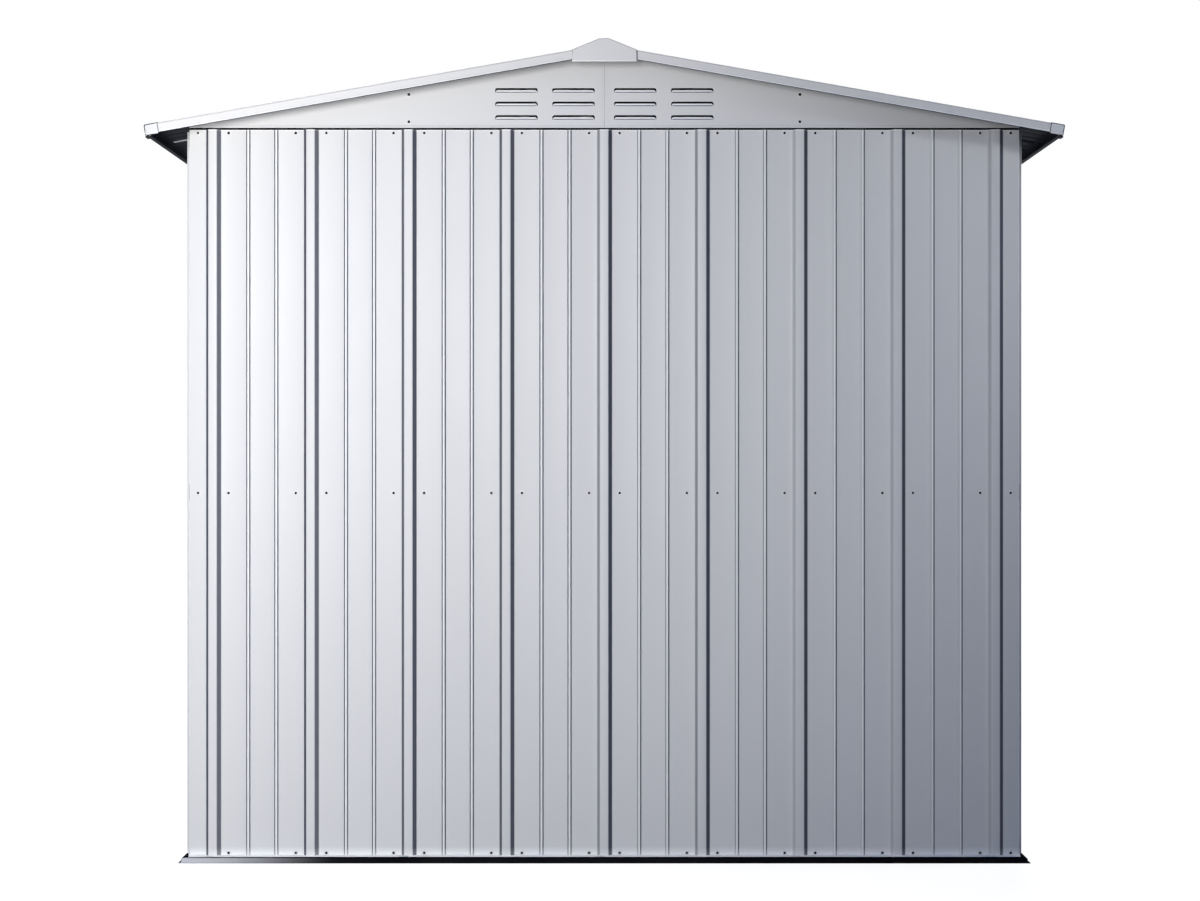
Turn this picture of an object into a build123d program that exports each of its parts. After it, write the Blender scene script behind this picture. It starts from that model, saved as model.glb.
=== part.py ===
from build123d import *
from math import cos, radians, sin, tan
import os

# A storage shed of folded sheet metal: ribbed wall panels on a base rail, low gables with louvres, a shallow
# ribbed roof with trims on all four edges, and a pair of doors on the far gable end.
# X runs across the gable, Y from the rear gable to the door end, Z up from the ground.

# Counts of panels and bays
wall_panels = 4
side_panels = 3
panel_bays = 2

# Sheets
sheet = 0.5
rail_sheet = 1.0
trim_sheet = 0.6

# Ribbed sheet
rib_pitch = 230.0
rib_foot = 35.0
rib_top = 19.0
rib_height = 12.0
rib_lip = 6.0
bead_offset = 82.0
bead_foot = 12.0
bead_top = 4.0
bead_height = 3.0
corner_leg = 56.5

# Base rail
base_height = 11.2
base_ledge = 17.5
base_toe = 6.0
base_upstand = 25.0

# Walls and the rails behind them
wall_height = 1715.0
gable_seam = 3.3
rail_flange = 20.0
gable_rail_below = 21.0
rail_clearance = 1.5
eave_rail_below = 26.0
mid_rail_height = 40.0
purlin_depth = 45.0
purlin_inset = 460.0

# Roof
roof_pitch = 9.95
roof_lift = 13.7
eave_overhang = 93.0
gable_overhang = 85.0
ridge_gap = 6.0
roof_end_clearance = 0.3

# Gables and their louvres
gable_flange = 20.0
louvre_width = 100.0
louvre_height = 10.0
louvre_corner = 4.0
louvre_slit = 2.5
louvre_lean = 4.0
louvre_column_inner = 72.5
louvre_column_outer = 207.0
louvre_row_pitch = 31.8
louvre_first_row = 18.0
louvre_rows = 3

# Bargeboards, eave trims and corner caps
barge_face = 21.6
barge_flange = 26.0
barge_return = 8.0
trim_face = 25.0
trim_flange = 30.0
trim_return = 10.0
trim_clearance = 0.3
corner_cap_length = 33.0
corner_cap_face = 25.5
corner_cap_wall = 1.3

# Ridge cap and its end caps
ridge_cap_half = 75.0
ridge_cap_flat = 11.0
ridge_cap_rise = 14.8
ridge_notch_clearance = 1.2
ridge_end_wall = 2.5
ridge_end_drop = 39.2

# Doorway and doors
jamb_depth = 25.0
header_height = 72.0
header_clearance = 0.4
door_gap = 3.0
door_flange = 20.0
hinge_count = 3
hinge_reach = 28.0
hinge_height = 50.0
hinge_leaf = 1.5
hinge_barrel = 4.0
hinge_end_share = 0.12
handle_length = 140.0
handle_width = 14.0
handle_depth = 32.0
handle_bar = 8.0
handle_inset = 42.0
handle_height = 960.0

# Overrun of every cut
overrun = 5.0

# Derived places
wall_bays = wall_panels * panel_bays
side_bays = side_panels * panel_bays
wall_ribs_half = wall_bays * rib_pitch / 2
side_ribs_half = side_bays * rib_pitch / 2
half_width = wall_ribs_half + corner_leg
half_depth = side_ribs_half + corner_leg
wall_top = base_height + wall_height
gable_bottom = wall_top + gable_seam
gable_rail_bottom = wall_top - gable_rail_below
doorway_half = wall_ribs_half - panel_bays * rib_pitch

slope = tan(radians(roof_pitch))
slope_cos = cos(radians(roof_pitch))
slope_sin = sin(radians(roof_pitch))
ridge_height = wall_top + roof_lift + half_width * slope
roof_run = (half_width + eave_overhang) / slope_cos
roof_end = half_depth + gable_overhang
roof_half_length = roof_end - trim_sheet - roof_end_clearance

# Wall planes: X to the right as seen from outside, Y inwards, Z up, on the sheets' inner faces
walls = {
    "rear": Plane(origin=(0, -half_depth, 0), x_dir=(1, 0, 0), z_dir=(0, 0, 1)),
    "right": Plane(origin=(half_width, 0, 0), x_dir=(0, 1, 0), z_dir=(0, 0, 1)),
    "front": Plane(origin=(0, half_depth, 0), x_dir=(-1, 0, 0), z_dir=(0, 0, 1)),
    "left": Plane(origin=(-half_width, 0, 0), x_dir=(0, -1, 0), z_dir=(0, 0, 1)),
}
wall_halves = {"rear": half_width, "right": half_depth, "front": half_width, "left": half_depth}
rib_halves = {"rear": wall_ribs_half, "right": side_ribs_half, "front": wall_ribs_half, "left": side_ribs_half}

# Roof planes: the same directions on the roof sheets' undersides, with Z up the slope and zero at the ridge
slopes = {
    "right": Plane(origin=(0, 0, ridge_height), x_dir=(0, 1, 0), z_dir=(-slope_cos, 0, slope_sin)),
    "left": Plane(origin=(0, 0, ridge_height), x_dir=(0, -1, 0), z_dir=(slope_cos, 0, slope_sin)),
}
sides = {"right": 1, "left": -1}
ends = {"rear": -1, "front": 1}
kept_half = {"right": Keep.TOP, "left": Keep.BOTTOM}


def folded(path, thickness):
    # closed outline of a sheet folded along a path, with its thickness to the right of the path
    points = [Vector(*point) for point in path]
    runs = [(after - before).normalized() for before, after in zip(points, points[1:])]
    normals = [Vector(run.Y, -run.X) for run in runs]
    shifted = [points[0] + normals[0] * thickness]
    for point, before, after in zip(points[1:], normals, normals[1:]):
        shifted.append(point + (before + after) * (thickness / (1 + before.dot(after))))
    shifted.append(points[-1] + normals[-1] * thickness)
    return points + shifted[::-1]


def folded_sheet(plane, path, thickness, length):
    with BuildPart() as piece:
        with BuildSketch(plane):
            with BuildLine():
                Polyline(*folded(path, thickness), close=True)
            make_face()
        extrude(amount=length)
    return piece


def section_plane(frame, along):
    # across a wall or roof plane at a distance along it: X inwards, Y up
    return Plane(origin=frame.from_local_coords((along, 0, 0)), x_dir=frame.y_dir, z_dir=frame.x_dir)


def elevation_plane(frame):
    # a wall seen from outside: X to the right, Y up
    return Plane(origin=frame.origin, x_dir=frame.x_dir, z_dir=-frame.y_dir)


def save(piece, name):
    piece.part.label = name
    export_step(piece.part, f"parts/{name}.step")


def raised(centre, foot, top, height):
    return [
        (centre - foot / 2, 0),
        (centre - top / 2, -height),
        (centre + top / 2, -height),
        (centre + foot / 2, 0),
    ]


def rib(centre):
    return raised(centre, rib_foot, rib_top, rib_height)


def bead(centre):
    return raised(centre, bead_foot, bead_top, bead_height)


def lapping_rib(centre):
    # a rib whose left foot rests on the neighbour's flat lap
    foot = centre - rib_foot / 2
    return [(foot - rib_lip, -sheet), (foot, -sheet)] + rib(centre)[1:]


def bays(first, count):
    # beads of each bay after the rib at first, with a rib between bays
    path = []
    for bay in range(count):
        start = first + bay * rib_pitch
        if bay:
            path += rib(start)
        path += bead(start + bead_offset) + bead(start + rib_pitch - bead_offset)
    return path


def panel_path(first):
    return lapping_rib(first) + bays(first, panel_bays) + [(first + panel_bays * rib_pitch, 0)]


def roof_under(across):
    return ridge_height - across * slope


os.makedirs("parts", exist_ok=True)

# Base rails, mitred at the corners
base_path = [
    (-base_ledge - base_toe, rail_sheet),
    (-base_ledge, rail_sheet),
    (-base_ledge, base_height),
    (0, base_height),
    (0, base_height + base_upstand),
]
for wall, frame in walls.items():
    half = wall_halves[wall]
    reach = half + base_ledge + base_toe + overrun
    with BuildPart() as base_rail:
        with BuildSketch(section_plane(frame, -reach)):
            with BuildLine():
                Polyline(*folded(base_path, rail_sheet), close=True)
            make_face()
        extrude(amount=2 * reach)
        for hand in (-1, 1):
            corner = frame.from_local_coords((hand * half, 0, 0))
            split(bisect_by=Plane(origin=corner, z_dir=frame.x_dir * hand + frame.y_dir), keep=Keep.BOTTOM)
    save(base_rail, f"base_rail_{wall}")

# Wall panels, each with a rib that laps its left neighbour
for wall, panels in (("rear", wall_panels), ("right", side_panels), ("left", side_panels)):
    for index in range(panels):
        first = index * panel_bays * rib_pitch - rib_halves[wall]
        panel = folded_sheet(walls[wall].offset(base_height), panel_path(first), sheet, wall_height)
        save(panel, f"{wall}_wall_panel_{index + 1}")

# Corner panels, with a lapping rib on one wall and a plain lap on the next
corner_names = {"rear": "rear_right", "right": "front_right", "front": "front_left", "left": "rear_left"}
for wall, name in corner_names.items():
    corner_at = wall_halves[wall]
    corner_path = lapping_rib(rib_halves[wall]) + [(corner_at, 0), (corner_at, corner_leg)]
    corner_panel = folded_sheet(walls[wall].offset(base_height), corner_path, sheet, wall_height)
    save(corner_panel, f"corner_panel_{name}")

# Wall panels beside the doorway, each folded in at the jamb and cut back there at the rails
right_path = lapping_rib(-wall_ribs_half) + bays(-wall_ribs_half, panel_bays)
right_path += [(-doorway_half, 0), (-doorway_half, jamb_depth)]
left_path = [(doorway_half, jamb_depth), (doorway_half, 0)]
left_path += bays(doorway_half, panel_bays) + [(wall_ribs_half, 0)]
cutbacks = (
    (base_height, base_upstand + rail_clearance),
    (gable_rail_bottom - rail_clearance, gable_rail_below + rail_clearance),
)
for side, path, jamb_at in (("right", right_path, -doorway_half), ("left", left_path, doorway_half)):
    with BuildPart() as front_panel:
        with BuildSketch(walls["front"].offset(base_height)):
            with BuildLine():
                Polyline(*folded(path, sheet), close=True)
            make_face()
        extrude(amount=wall_height)
        for bottom, height in cutbacks:
            with BuildSketch(walls["front"].offset(bottom)):
                with Locations((jamb_at, 0)):
                    Rectangle(2 * overrun, jamb_depth + overrun, align=(Align.CENTER, Align.MIN))
            extrude(amount=height, mode=Mode.SUBTRACT)
    save(front_panel, f"front_wall_panel_{side}")

# Door header
header_bottom = wall_top - header_height
header_half = doorway_half - sheet - header_clearance
header_path = [(jamb_depth, header_bottom), (0, header_bottom), (0, wall_top)]
header = folded_sheet(section_plane(walls["front"], -header_half), header_path, -sheet, 2 * header_half)
save(header, "door_header")

# Door leaves, folded in on three edges
door_bottom = base_height + base_upstand + door_gap
door_height = header_bottom - sheet - door_gap - door_bottom
door_outer = doorway_half - 2 * sheet - door_gap
door_inner = door_gap / 2 + sheet
leaf_bays = (wall_panels - 2) * panel_bays // 2
for side, (first, leaf_start, leaf_end) in {
    "right": (-doorway_half, -door_outer, -door_inner),
    "left": (0, door_inner, door_outer),
}.items():
    leaf_path = [(leaf_start, door_flange), (leaf_start, 0)] + bays(first, leaf_bays)
    leaf_path += [(leaf_end, 0), (leaf_end, door_flange)]
    leaf = folded_sheet(walls["front"].offset(door_bottom), leaf_path, sheet, door_height)
    save(leaf, f"door_leaf_{side}")

# Hinges across the jambs
with BuildPart() as hinges:
    hinge_span = door_height * (1 - 2 * hinge_end_share)
    for index in range(hinge_count):
        hinge_middle = door_bottom + door_height * hinge_end_share + hinge_span * index / (hinge_count - 1)
        with BuildSketch(elevation_plane(walls["front"]).offset(sheet)):
            with Locations((-doorway_half, hinge_middle), (doorway_half, hinge_middle)):
                Rectangle(2 * hinge_reach, hinge_height)
        extrude(amount=hinge_leaf)
        with BuildSketch(walls["front"].offset(hinge_middle - hinge_height / 2)):
            with Locations((-doorway_half, -sheet - hinge_barrel), (doorway_half, -sheet - hinge_barrel)):
                Circle(hinge_barrel)
        extrude(amount=hinge_height)
save(hinges, "door_hinges")

# Pull handles beside the meeting edges
handle_middle = handle_height
grip_path = [
    (-sheet, handle_middle - handle_length / 2),
    (-sheet - handle_depth, handle_middle - handle_length / 2),
    (-sheet - handle_depth, handle_middle + handle_length / 2),
    (-sheet, handle_middle + handle_length / 2),
]
with BuildPart() as handles:
    for hand in (-1, 1):
        with BuildSketch(section_plane(walls["front"], hand * handle_inset - handle_width / 2)):
            with BuildLine():
                Polyline(*folded(grip_path, handle_bar), close=True)
            make_face()
        extrude(amount=handle_width)
save(handles, "door_handles")


def channel_path(bottom, top, top_rise):
    # a channel open inwards, its top flange rising by top_rise at its tip
    return [(rail_flange, bottom), (0, bottom), (0, top), (rail_flange, top + top_rise)]


# Rails along the tops of the gable walls, ending where they meet the roof
gable_rail_top = gable_bottom + louvre_first_row - rail_clearance
gable_rail_half = (roof_under(0) - gable_rail_top) / slope - rail_flange
gable_rail_path = channel_path(gable_rail_bottom, gable_rail_top, 0)
with BuildPart() as gable_rails:
    for wall in ends:
        with BuildSketch(section_plane(walls[wall], -gable_rail_half)):
            with BuildLine():
                Polyline(*folded(gable_rail_path, rail_sheet), close=True)
            make_face()
        extrude(amount=2 * gable_rail_half)
save(gable_rails, "gable_rails")

# Rails along the tops of the side walls, their upper flanges under the roof sheets
eave_rail_top = roof_under(half_width) - sheet / slope_cos
eave_rail_path = channel_path(wall_top - eave_rail_below, eave_rail_top, rail_flange * slope)
with BuildPart() as eave_rails:
    for wall in sides:
        with BuildSketch(section_plane(walls[wall], -half_depth)):
            with BuildLine():
                Polyline(*folded(eave_rail_path, rail_sheet), close=True)
            make_face()
        extrude(amount=2 * half_depth)
save(eave_rails, "eave_rails")

# Rails half way up the walls
mid_rail_bottom = base_height + (wall_height - mid_rail_height) / 2
mid_rail_path = channel_path(mid_rail_bottom, mid_rail_bottom + mid_rail_height, 0)
mid_rail_half = half_depth - rail_flange - rail_clearance
with BuildPart() as mid_rails:
    for wall, half in (("rear", half_width), ("right", mid_rail_half), ("left", mid_rail_half)):
        with BuildSketch(section_plane(walls[wall], -half)):
            with BuildLine():
                Polyline(*folded(mid_rail_path, rail_sheet), close=True)
            make_face()
        extrude(amount=2 * half)
save(mid_rails, "mid_rails")

# Purlins under the roof sheets
purlin_at = -purlin_inset / slope_cos
purlin_path = [
    (sheet + purlin_depth, purlin_at + rail_flange),
    (sheet + purlin_depth, purlin_at),
    (sheet, purlin_at),
    (sheet, purlin_at + rail_flange),
]
with BuildPart() as purlins:
    for side, frame in slopes.items():
        with BuildSketch(section_plane(frame, -half_depth)):
            with BuildLine():
                Polyline(*folded(purlin_path, rail_sheet), close=True)
            make_face()
        extrude(amount=2 * half_depth)
save(purlins, "purlins")

# Gable plates, two to each end, with a flange under the roof and pressed louvres
for wall, end in ends.items():
    for side, hand in sides.items():
        frame = walls[wall]
        along = hand if wall == "rear" else -hand
        columns = [along * louvre_column_inner, along * louvre_column_outer]
        rows = [gable_bottom + louvre_first_row + row * louvre_row_pitch for row in range(louvre_rows)]
        places = [(column, row) for column in columns for row in rows]
        with BuildPart() as gable:
            with BuildSketch(elevation_plane(frame)):
                with BuildLine():
                    Polyline(
                        (0, gable_bottom),
                        (along * half_width, gable_bottom),
                        (along * half_width, roof_under(half_width)),
                        (0, roof_under(0)),
                        close=True,
                    )
                make_face()
            extrude(amount=sheet)
            flange_middle = end * hand * (half_depth + (sheet - gable_flange) / 2)
            flange_run = half_width / slope_cos
            with BuildSketch(slopes[side].offset(-flange_run)):
                with Locations((flange_middle, sheet / 2)):
                    Rectangle(gable_flange + sheet, sheet)
            extrude(amount=flange_run + overrun)
            split(bisect_by=Plane.YZ, keep=kept_half[side])
            with BuildSketch(elevation_plane(frame)):
                for column, row in places:
                    with Locations((column, row + louvre_height / 2)):
                        RectangleRounded(louvre_width, louvre_height, louvre_corner)
                    with Locations((column, row + louvre_height / 4)):
                        Rectangle(louvre_width, louvre_height / 2)
            extrude(amount=sheet, mode=Mode.SUBTRACT)
            for column, row in places:
                with BuildSketch(section_plane(frame, column - louvre_width / 2)):
                    with BuildLine():
                        Polyline(
                            (-sheet, row),
                            (0, row),
                            (louvre_lean, row + louvre_height - louvre_slit),
                            (louvre_lean - sheet, row + louvre_height - louvre_slit),
                            close=True,
                        )
                    make_face()
                extrude(amount=louvre_width)
        save(gable, f"{wall}_gable_{side}")

# Roof panels, with the ribs running down the slope
for side, frame in slopes.items():
    for index in range(side_panels):
        first = index * panel_bays * rib_pitch - side_ribs_half
        last = first + panel_bays * rib_pitch
        if index:
            roof_path = lapping_rib(first)
        else:
            roof_path = [(-roof_half_length, 0)] + bead(first - bead_offset) + rib(first)
        roof_path += bays(first, panel_bays)
        if index < side_panels - 1:
            roof_path += [(last, 0)]
        else:
            roof_path += rib(last) + bead(last + bead_offset) + [(roof_half_length, 0)]
        roof_panel = folded_sheet(frame.offset(-roof_run), roof_path, sheet, roof_run - ridge_gap)
        save(roof_panel, f"{side}_roof_panel_{index + 1}")

# Bargeboards around the roof ends, meeting at the ridge
barge_top = sheet + trim_sheet
for wall, end in ends.items():
    for side, hand in sides.items():
        at = end * hand * roof_end
        inwards = -end * hand
        barge_path = [
            (at + inwards * barge_return, barge_face - barge_top),
            (at, barge_face - barge_top),
            (at, -barge_top),
            (at + inwards * barge_flange, -barge_top),
        ]
        with BuildPart() as bargeboard:
            with BuildSketch(slopes[side].offset(-roof_run)):
                with BuildLine():
                    Polyline(*folded(barge_path, -inwards * trim_sheet), close=True)
                make_face()
            extrude(amount=roof_run + overrun)
            split(bisect_by=Plane.YZ, keep=kept_half[side])
        save(bargeboard, f"bargeboard_{wall}_{side}")

# Eave trims under the lower ends of the roof sheets
trim_half = roof_end - barge_return - trim_clearance
trim_path = [
    (trim_face, trim_return - roof_run),
    (trim_face, -roof_run),
    (0, -roof_run),
    (0, trim_flange - roof_run),
]
for side, frame in slopes.items():
    eave_trim = folded_sheet(section_plane(frame, -trim_half), trim_path, trim_sheet, 2 * trim_half)
    save(eave_trim, f"eave_trim_{side}")

# Caps over the four roof corners
cap_top = barge_top + corner_cap_wall
with BuildPart() as corner_caps:
    for frame in slopes.values():
        for end in (-1, 1):
            cap_middle = end * (roof_end + corner_cap_wall - corner_cap_length / 2)
            with BuildSketch(frame.offset(-roof_run - corner_cap_wall)):
                with Locations((cap_middle, corner_cap_face / 2 - cap_top)):
                    Rectangle(corner_cap_length, corner_cap_face)
            extrude(amount=corner_cap_length)
            with BuildSketch(frame.offset(-roof_run)):
                with Locations((cap_middle - end * corner_cap_wall, corner_cap_face / 2 - barge_top)):
                    Rectangle(corner_cap_length, corner_cap_face)
            extrude(amount=corner_cap_length, mode=Mode.SUBTRACT)
save(corner_caps, "roof_corner_caps")

# Ridge cap, notched over the roof's ribs and beads
ridge_top = ridge_height + ridge_cap_rise
ridge_edge = roof_under(ridge_cap_half) + barge_top / slope_cos + trim_sheet
ridge_profile = [
    (-ridge_cap_half, ridge_edge),
    (-ridge_cap_flat, ridge_top),
    (ridge_cap_flat, ridge_top),
    (ridge_cap_half, ridge_edge),
]
notch_run = (ridge_cap_half + overrun) / slope_cos
notch_margin = sheet + ridge_notch_clearance


def notch(centre, foot, top, height):
    return raised(centre, foot + 2 * notch_margin, top + 2 * notch_margin, height + notch_margin)


notches = []
for index in range(side_bays + 1):
    centre = index * rib_pitch - side_ribs_half
    notches.append(notch(centre, rib_foot, rib_top, rib_height))
    notches.append(notch(centre - bead_offset, bead_foot, bead_top, bead_height))
    notches.append(notch(centre + bead_offset, bead_foot, bead_top, bead_height))
with BuildPart() as ridge_cap:
    with BuildSketch(Plane.XZ.offset(-roof_end)):
        with BuildLine():
            Polyline(*folded(ridge_profile, trim_sheet), close=True)
        make_face()
    extrude(amount=2 * roof_end)
    for frame in slopes.values():
        with BuildSketch(frame.offset(-notch_run)):
            for outline in notches:
                with BuildLine():
                    Polyline(*outline, close=True)
                make_face()
        extrude(amount=notch_run, mode=Mode.SUBTRACT)
save(ridge_cap, "ridge_cap")

# End caps over the ridge at both gables
with BuildPart() as ridge_end_caps:
    for frame in (walls["rear"], walls["front"]):
        with BuildSketch(elevation_plane(frame).offset(gable_overhang)):
            with BuildLine():
                Polyline(
                    *ridge_profile,
                    (ridge_cap_half, ridge_height - ridge_end_drop),
                    (-ridge_cap_half, ridge_height - ridge_end_drop),
                    close=True,
                )
            make_face()
        extrude(amount=ridge_end_wall)
save(ridge_end_caps, "ridge_end_caps")
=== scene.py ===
import math
import bmesh
import bpy
from mathutils import Matrix, Vector


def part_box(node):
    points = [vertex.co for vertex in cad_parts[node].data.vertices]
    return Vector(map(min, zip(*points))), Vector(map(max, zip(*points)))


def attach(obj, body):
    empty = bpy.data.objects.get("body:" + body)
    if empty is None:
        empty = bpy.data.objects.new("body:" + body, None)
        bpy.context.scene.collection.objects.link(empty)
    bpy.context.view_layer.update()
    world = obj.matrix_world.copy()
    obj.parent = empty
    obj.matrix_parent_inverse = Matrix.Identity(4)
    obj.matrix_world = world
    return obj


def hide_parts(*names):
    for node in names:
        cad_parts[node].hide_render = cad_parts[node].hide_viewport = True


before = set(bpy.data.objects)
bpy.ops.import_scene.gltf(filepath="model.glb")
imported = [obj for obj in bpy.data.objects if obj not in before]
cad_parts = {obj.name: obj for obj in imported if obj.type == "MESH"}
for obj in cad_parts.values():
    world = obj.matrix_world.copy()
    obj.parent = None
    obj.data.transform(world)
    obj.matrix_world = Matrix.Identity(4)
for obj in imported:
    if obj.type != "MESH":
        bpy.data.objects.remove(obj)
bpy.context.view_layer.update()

tiny = 0.00005
foldAngle = 0.12                                     # sharper than this, in radians, is a fold
facing = 0.5                                         # how far a normal leans to face a way
squarely = 0.9


# frame sizes that every piece is placed by

halfWidth = -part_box("left_wall_panel_1")[1].x        # inner faces of the wall sheets
halfDepth = -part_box("rear_wall_panel_1")[1].y
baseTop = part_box("rear_wall_panel_1")[0].z
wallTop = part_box("rear_wall_panel_1")[1].z
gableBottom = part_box("rear_gable_left")[0].z
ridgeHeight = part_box("rear_gable_left")[1].z         # underside of the roof sheets at the ridge
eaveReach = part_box("eave_trim_right")[1].x
roofEnd = -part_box("bargeboard_rear_left")[0].y

pitch = math.radians(9.95)
roofRun = eaveReach / math.cos(pitch)

wallTurns = {"rear": 0.0, "right": math.pi / 2, "front": math.pi, "left": -math.pi / 2}
wallHalves = {"rear": halfWidth, "right": halfDepth, "front": halfWidth, "left": halfDepth}


def wallMatrix(wall):
    # X to the right as seen from outside, -Y outwards, on the sheets' inner faces
    back = {"rear": halfDepth, "right": halfWidth, "front": halfDepth, "left": halfWidth}[wall]
    return Matrix.Rotation(wallTurns[wall], 4, "Z") @ Matrix.Translation((0, -back, 0))


def roofMatrix(side):
    # X along the eave, Z up the slope, -Y out of the roof, zero at the ridge
    hand = 1 if side == "right" else -1
    turn = Matrix.Rotation(hand * math.pi / 2, 4, "Z")
    tilt = Matrix.Rotation(-hand * (math.pi / 2 - pitch), 4, "Y")
    return Matrix.Translation((0, 0, ridgeHeight)) @ (tilt @ turn)


# modelling helpers

def deselect():
    if bpy.context.object and bpy.context.object.mode != "OBJECT":
        bpy.ops.object.mode_set(mode="OBJECT")
    bpy.ops.object.select_all(action="DESELECT")


def only(piece):
    deselect()
    piece.select_set(True)
    bpy.context.view_layer.objects.active = piece


def edit(piece):
    only(piece)
    bpy.ops.object.mode_set(mode="EDIT")
    bpy.ops.mesh.select_all(action="SELECT")


def done():
    bpy.ops.object.mode_set(mode="OBJECT")


def flatSheet(name, left, right, bottom, top):
    # a sheet that faces -Y
    deselect()
    bpy.ops.mesh.primitive_plane_add(size=1, rotation=(math.pi / 2, 0, 0))
    piece = bpy.context.object
    piece.name = name
    piece.scale = (right - left, top - bottom, 1)
    piece.location = ((left + right) / 2, 0, (bottom + top) / 2)
    bpy.ops.object.transform_apply(location=True, rotation=True, scale=True)
    return piece


def cut(at, normal, clearInner=False, clearOuter=False):
    bpy.ops.mesh.select_all(action="SELECT")
    bpy.ops.mesh.bisect(plane_co=at, plane_no=normal, clear_inner=clearInner, clear_outer=clearOuter)


def pick(piece, kind, test):
    # selects the vertices, edges or faces that pass a test on their place
    bpy.ops.mesh.select_mode(type=kind)
    bpy.ops.mesh.select_all(action="DESELECT")
    mesh = bmesh.from_edit_mesh(piece.data)
    parts = {"VERT": mesh.verts, "EDGE": mesh.edges, "FACE": mesh.faces}[kind]
    found = [part for part in parts if test(part)]
    for part in found:
        part.select_set(True)
    bmesh.update_edit_mesh(piece.data)
    return len(found)


def push(piece, test, move):
    if pick(piece, "VERT", lambda vert: test(vert.co)):
        bpy.ops.transform.translate(value=move)


def pullEdge(piece, test, move):
    # pulls a flange out of the open edges that pass the test
    pick(piece, "EDGE", lambda edge: edge.is_boundary and all(test(vert.co) for vert in edge.verts))
    bpy.ops.mesh.extrude_region_move(TRANSFORM_OT_translate={"value": move})


def roundFolds(piece, bend, segments, test=lambda edge: True):
    # rounds the folds between faces that meet at an angle
    def isFold(edge):
        return len(edge.link_faces) == 2 and edge.calc_face_angle(0) > foldAngle and test(edge)

    if pick(piece, "EDGE", isFold):
        bpy.ops.mesh.bevel(
            offset=bend, offset_type="OFFSET", segments=segments, affect="EDGES", clamp_overlap=True)


def applyModifier(piece, kind, settings):
    only(piece)
    modifier = piece.modifiers.new("step", kind)
    for key, value in settings.items():
        setattr(modifier, key, value)
    bpy.ops.object.modifier_apply(modifier="step")


def thicken(piece, thickness, outwards):
    side = 1 if outwards else -1
    applyModifier(piece, "SOLIDIFY", {"thickness": thickness, "offset": side, "use_even_offset": True})


def place(piece, matrix):
    only(piece)
    piece.matrix_world = matrix
    bpy.ops.object.transform_apply(location=True, rotation=True, scale=True)


def copyOf(piece, name, matrix):
    only(piece)
    bpy.ops.object.duplicate(linked=False)
    twin = bpy.context.object
    twin.name = name
    place(twin, matrix)
    return twin


def smooth(piece, angle=35):
    only(piece)
    bpy.ops.object.shade_smooth_by_angle(angle=math.radians(angle))


def join(name, parts):
    deselect()
    for part in parts:
        part.select_set(True)
    bpy.context.view_layer.objects.active = parts[0]
    bpy.ops.object.join()
    parts[0].name = name
    return parts[0]


def finishPiece(piece, material, nodes=()):
    # gives a piece its paint and its place on the shed
    if not piece.data.materials:
        piece.data.materials.append(material)
    smooth(piece)
    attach(piece, "root")
    if nodes:
        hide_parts(*nodes)


def coat(piece, paint, other, test):
    # the faces that pass the test get the other material
    piece.data.materials.append(paint)
    piece.data.materials.append(other)
    edit(piece)
    pick(piece, "FACE", test)
    piece.active_material_index = 1
    bpy.ops.object.material_slot_assign()
    done()


def mark(piece, name, test, share=1.0):
    # writes a mark on the vertices that pass a test on their place
    layer = piece.data.attributes.get(name) or piece.data.attributes.new(name, "FLOAT", "POINT")
    for vert, point in zip(piece.data.vertices, layer.data):
        if test(vert.co):
            point.value = share


# materials

def newMaterial(name):
    material = bpy.data.materials.new(name)
    material.use_nodes = True
    tree = material.node_tree
    shader = tree.nodes["Principled BSDF"]
    coords = tree.nodes.new("ShaderNodeTexCoord")
    return material, tree, shader, coords.outputs["Object"]


def noise(tree, coords, scale, detail=3.0, roughness=0.5, stretch=(1, 1, 1)):
    mapping = tree.nodes.new("ShaderNodeMapping")
    mapping.inputs["Scale"].default_value = stretch
    tree.links.new(coords, mapping.inputs["Vector"])
    texture = tree.nodes.new("ShaderNodeTexNoise")
    texture.inputs["Scale"].default_value = scale
    texture.inputs["Detail"].default_value = detail
    texture.inputs["Roughness"].default_value = roughness
    tree.links.new(mapping.outputs["Vector"], texture.inputs["Vector"])
    return texture.outputs["Fac"]


def ramp(tree, value, stops):
    colours = tree.nodes.new("ShaderNodeValToRGB")
    tree.links.new(value, colours.inputs["Fac"])
    for index, (at, colour) in enumerate(stops):
        stop = colours.color_ramp.elements[index] if index < 2 else colours.color_ramp.elements.new(at)
        stop.position = at
        stop.color = (*colour, 1)
    return colours.outputs["Color"]


def spread(tree, value, low, high):
    span = tree.nodes.new("ShaderNodeMapRange")
    span.inputs["To Min"].default_value = low
    span.inputs["To Max"].default_value = high
    tree.links.new(value, span.inputs["Value"])
    return span.outputs["Result"]


def bump(tree, shader, layers):
    # stacks height layers, each with a strength and a depth in metres
    normal = None
    for height, strength, depth in layers:
        step = tree.nodes.new("ShaderNodeBump")
        step.inputs["Strength"].default_value = strength
        step.inputs["Distance"].default_value = depth
        tree.links.new(height, step.inputs["Height"])
        if normal:
            tree.links.new(normal, step.inputs["Normal"])
        normal = step.outputs["Normal"]
    tree.links.new(normal, shader.inputs["Normal"])


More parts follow.
